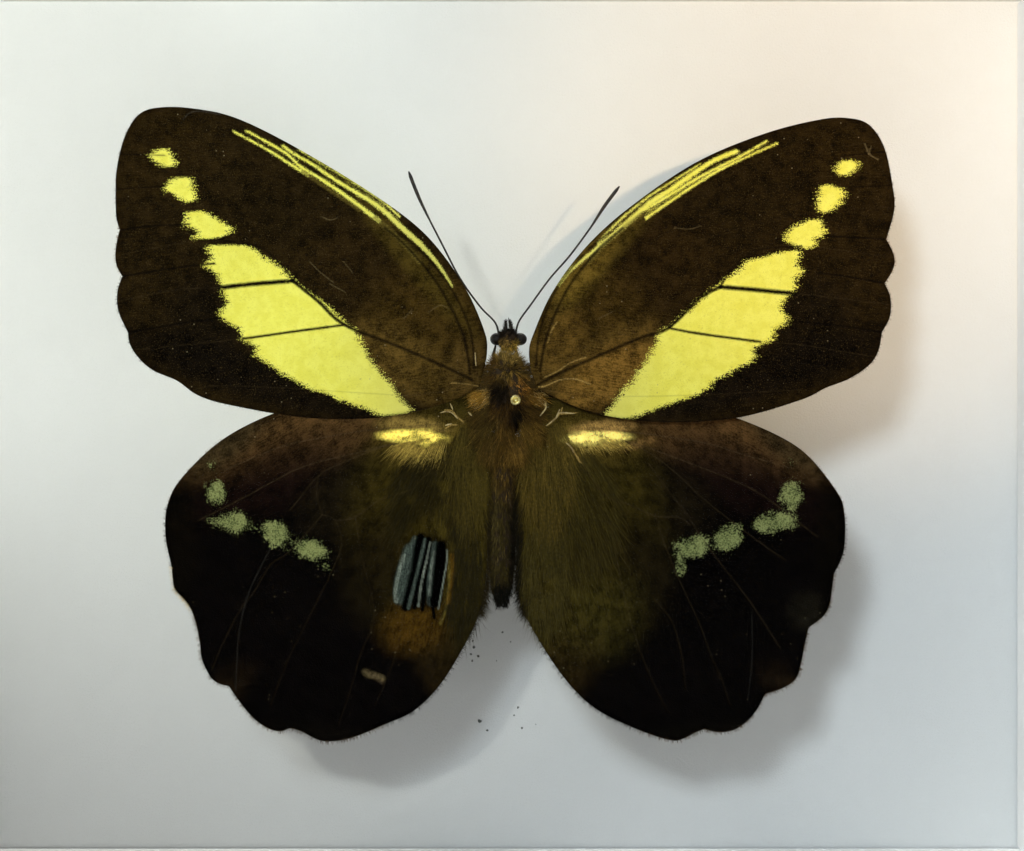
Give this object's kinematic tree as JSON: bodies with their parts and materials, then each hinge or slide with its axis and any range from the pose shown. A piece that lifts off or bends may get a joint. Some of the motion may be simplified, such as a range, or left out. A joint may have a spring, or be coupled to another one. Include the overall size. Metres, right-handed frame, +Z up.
{
  "type": "framed butterfly specimen",
  "caption": "Spread dark butterfly with a pale yellow wing band, pinned above a white board in a glazed, mitred wooden box frame with a hanger on its back.",
  "frame": {"origin": "middle of the frame's bottom, on the surface that it stands on", "axes": "+Z up towards the butterfly's head, +X to the right as seen from the glass, and the glass faces -Y"},
  "size_m": [0.158, 0.0538, 0.1348],
  "materials": {
    "walnut": "satin, straight grain along each rail",
    "clear_glass": "clear, low reflection",
    "white_card": "matte white",
    "white_board": "matte white paper over foam",
    "hardboard": "matte pressed fibre",
    "zinc_steel": "dull zinc plating",
    "brassy_pin": "bright, yellowish",
    "body_fur": "dense brown hairs",
    "wing_scales": "dusty dark brown scales with pale yellow and grey-green markings",
    "horn": "near-black dry chitin"
  },
  "bodies": {
    "root": {"rail_top": "walnut", "rail_bottom": "walnut", "rail_left": "walnut", "rail_right": "walnut", "glass_pane": "clear_glass", "liner_top": "white_card", "liner_bottom": "white_card", "liner_left": "white_card", "liner_right": "white_card", "pinning_board": "white_board", "back_panel": "hardboard", "back_tab_top_1": "zinc_steel", "back_tab_top_2": "zinc_steel", "back_tab_bottom_1": "zinc_steel", "back_tab_bottom_2": "zinc_steel", "back_tab_left_1": "zinc_steel", "back_tab_right_1": "zinc_steel", "hanger": "zinc_steel", "hanger_rivet_left": "zinc_steel", "hanger_rivet_right": "zinc_steel", "pin": "brassy_pin", "head": "body_fur", "thorax": "body_fur", "abdomen": "body_fur", "forewing_left": "wing_scales", "forewing_right": "wing_scales", "hindwing_left": "wing_scales", "hindwing_right": "wing_scales", "antenna_left": "horn", "antenna_right": "horn", "leg_fore_left": "horn", "leg_fore_right": "horn", "leg_mid_left": "horn", "leg_mid_right": "horn", "leg_hind_left": "horn", "leg_hind_right": "horn"}
  },
  "joints": []
}
